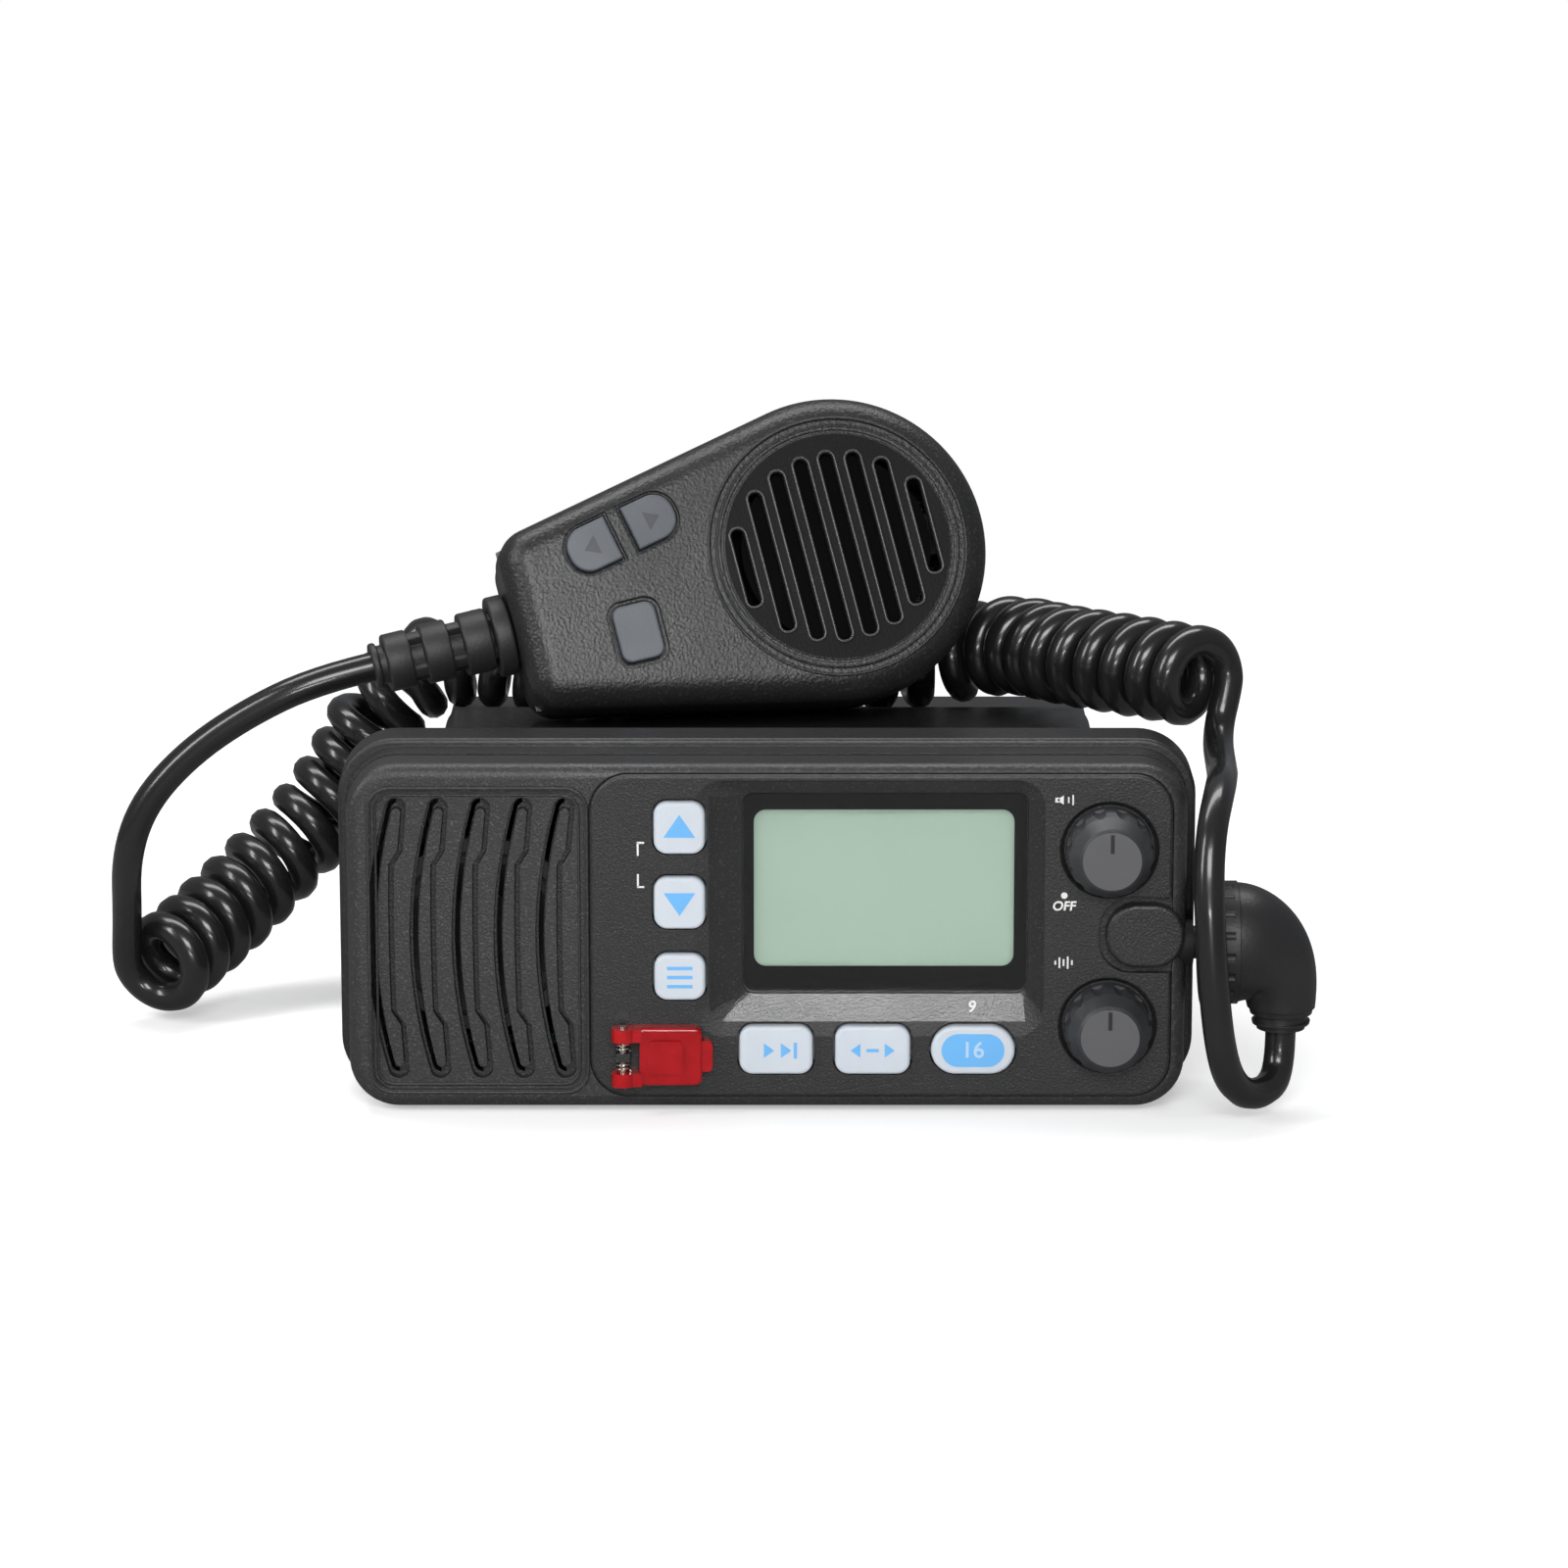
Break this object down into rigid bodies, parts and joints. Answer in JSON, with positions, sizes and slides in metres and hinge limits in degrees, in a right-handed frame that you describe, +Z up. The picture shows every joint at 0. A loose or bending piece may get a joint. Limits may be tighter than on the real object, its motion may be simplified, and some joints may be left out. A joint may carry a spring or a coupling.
{
  "type": "vhf marine radio",
  "caption": "Fixed-mount marine VHF transceiver with display, keys, distress lid, two knobs and a hand microphone on a curly cord.",
  "frame": {"origin": "centre of the case's bottom face", "axes": "+X to the right of the front panel, -Y towards the person at the radio, +Z up"},
  "size_m": [0.2258, 0.1393, 0.1196],
  "materials": {
    "case_plastic": "fine spark texture",
    "fascia_plastic": "fine spark texture",
    "lens_clear": "hard coated",
    "lcd_cell": "green LCD",
    "white_plastic": "moulded",
    "key_silicone": "pale blue-grey silicone",
    "key_blue": "light blue silicone",
    "mat_silicone": "moulded silicone",
    "red_clear": "translucent red",
    "red_button": "moulded",
    "spring_steel": "drawn wire",
    "knob_rubber": "soft-touch",
    "control_metal": "plated",
    "gasket": "moulded",
    "speaker_paper": "pressed",
    "speaker_steel": "pressed steel",
    "cast_alloy": "black powder coat on a casting",
    "circuit_board": "solder mask",
    "tinned_steel": "tinned",
    "module_body": "moulded",
    "screw_steel": "stainless",
    "nickel": "nickel plate",
    "insulator": "fluoropolymer",
    "contact_brass": "gold flash",
    "socket_plastic": "moulded",
    "plug_rubber": "overmoulded",
    "cord_rubber": "smooth jacket",
    "handset_plastic": "fine spark texture",
    "handset_key": "grey silicone",
    "hanger_metal": "turned"
  },
  "bodies": {
    "radio": {"antenna_contact": "contact_brass", "antenna_insulator": "insulator", "antenna_socket": "nickel", "board_screws": "screw_steel", "board_standoffs": "tinned_steel", "case_screws": "screw_steel", "chassis": "cast_alloy", "control_board": "circuit_board", "control_fascia": "fascia_plastic", "cord_coil": "cord_rubber", "cord_tail_mic": "cord_rubber", "cord_tail_plug": "cord_rubber", "display_lens": "lens_clear", "earth_screw": "screw_steel", "front_panel": "case_plastic", "grille_louvres": "case_plastic", "handset_back": "handset_plastic", "handset_board": "circuit_board", "handset_boot": "plug_rubber", "handset_capsule": "tinned_steel", "handset_front": "handset_plastic", "handset_screws": "screw_steel", "handset_seal": "gasket", "handset_speaker": "speaker_steel", "hanger_button": "hanger_metal", "keypad_mat": "mat_silicone", "knob_controls": "control_metal", "knob_nuts": "control_metal", "lcd_glass": "lcd_cell", "lcd_holder": "white_plastic", "lid_pin": "spring_steel", "lid_spring": "spring_steel", "main_board": "circuit_board", "mic_socket": "socket_plastic", "panel_seal": "gasket", "plug_collar": "plug_rubber", "plug_hood": "plug_rubber", "power_gland": "socket_plastic", "power_module": "module_body", "rf_shield": "tinned_steel", "socket_cover": "case_plastic", "speaker_cone": "speaker_paper", "speaker_frame": "speaker_steel", "speaker_gasket": "gasket", "speaker_magnet": "speaker_steel", "talk_switch": "module_body"},
    "volume_knob_body": {"volume_knob": "knob_rubber"},
    "squelch_knob_body": {"squelch_knob": "knob_rubber"},
    "key_up_body": {"key_up": "key_silicone"},
    "key_down_body": {"key_down": "key_silicone"},
    "key_menu_body": {"key_menu": "key_silicone"},
    "key_scan_body": {"key_scan": "key_silicone"},
    "key_channel_body": {"key_channel": "key_silicone"},
    "key_sixteen_body": {"key_sixteen": "key_blue"},
    "distress_lid_body": {"distress_lid": "red_clear"},
    "distress_button_body": {"distress_button": "red_button"},
    "handset_key_up_body": {"handset_key_up": "handset_key"},
    "handset_key_down_body": {"handset_key_down": "handset_key"},
    "handset_key_power_body": {"handset_key_power": "handset_key"},
    "talk_key_body": {"talk_key": "handset_key"}
  },
  "joints": [
    {"name": "volume_turn", "type": "hinge", "parent": "radio", "child": "volume_knob_body", "pos_m": [0.0618, -0.055, 0.0493], "axis": [0, 1, 0], "range_deg": [0, 290]},
    {"name": "squelch_turn", "type": "hinge", "parent": "radio", "child": "squelch_knob_body", "pos_m": [0.0618, -0.055, 0.0166], "axis": [0, 1, 0], "range_deg": [-140, 140]},
    {"name": "key_up_press", "type": "slide", "parent": "radio", "child": "key_up_body", "axis": [0, 1, 0], "range_m": [0, 0.0008], "stiffness_N_per_m": 1500},
    {"name": "key_down_press", "type": "slide", "parent": "radio", "child": "key_down_body", "axis": [0, 1, 0], "range_m": [0, 0.0008], "stiffness_N_per_m": 1500},
    {"name": "key_menu_press", "type": "slide", "parent": "radio", "child": "key_menu_body", "axis": [0, 1, 0], "range_m": [0, 0.0008], "stiffness_N_per_m": 1500},
    {"name": "key_scan_press", "type": "slide", "parent": "radio", "child": "key_scan_body", "axis": [0, 1, 0], "range_m": [0, 0.0008], "stiffness_N_per_m": 1500},
    {"name": "key_channel_press", "type": "slide", "parent": "radio", "child": "key_channel_body", "axis": [0, 1, 0], "range_m": [0, 0.0008], "stiffness_N_per_m": 1500},
    {"name": "key_sixteen_press", "type": "slide", "parent": "radio", "child": "key_sixteen_body", "axis": [0, 1, 0], "range_m": [0, 0.0008], "stiffness_N_per_m": 1500},
    {"name": "distress_lid_swing", "type": "hinge", "parent": "radio", "child": "distress_lid_body", "pos_m": [-0.026, -0.0576, 0.0115], "axis": [0, 0, -1], "range_deg": [0, 110], "stiffness_Nm_per_rad": 0.01},
    {"name": "distress_button_press", "type": "slide", "parent": "radio", "child": "distress_button_body", "axis": [0, 1, 0], "range_m": [0, 0.0012], "stiffness_N_per_m": 1500},
    {"name": "handset_key_up_press", "type": "slide", "parent": "radio", "child": "handset_key_up_body", "axis": [-0.1308, 0.9305, -0.342], "range_m": [0, 0.0008], "stiffness_N_per_m": 1500},
    {"name": "handset_key_down_press", "type": "slide", "parent": "radio", "child": "handset_key_down_body", "axis": [-0.1308, 0.9305, -0.342], "range_m": [0, 0.0008], "stiffness_N_per_m": 1500},
    {"name": "handset_key_power_press", "type": "slide", "parent": "radio", "child": "handset_key_power_body", "axis": [-0.1308, 0.9305, -0.342], "range_m": [0, 0.0008], "stiffness_N_per_m": 1500},
    {"name": "talk_key_press", "type": "slide", "parent": "radio", "child": "talk_key_body", "axis": [-0.3431, -0.3661, -0.865], "range_m": [0, 0.0012], "stiffness_N_per_m": 1500}
  ]
}
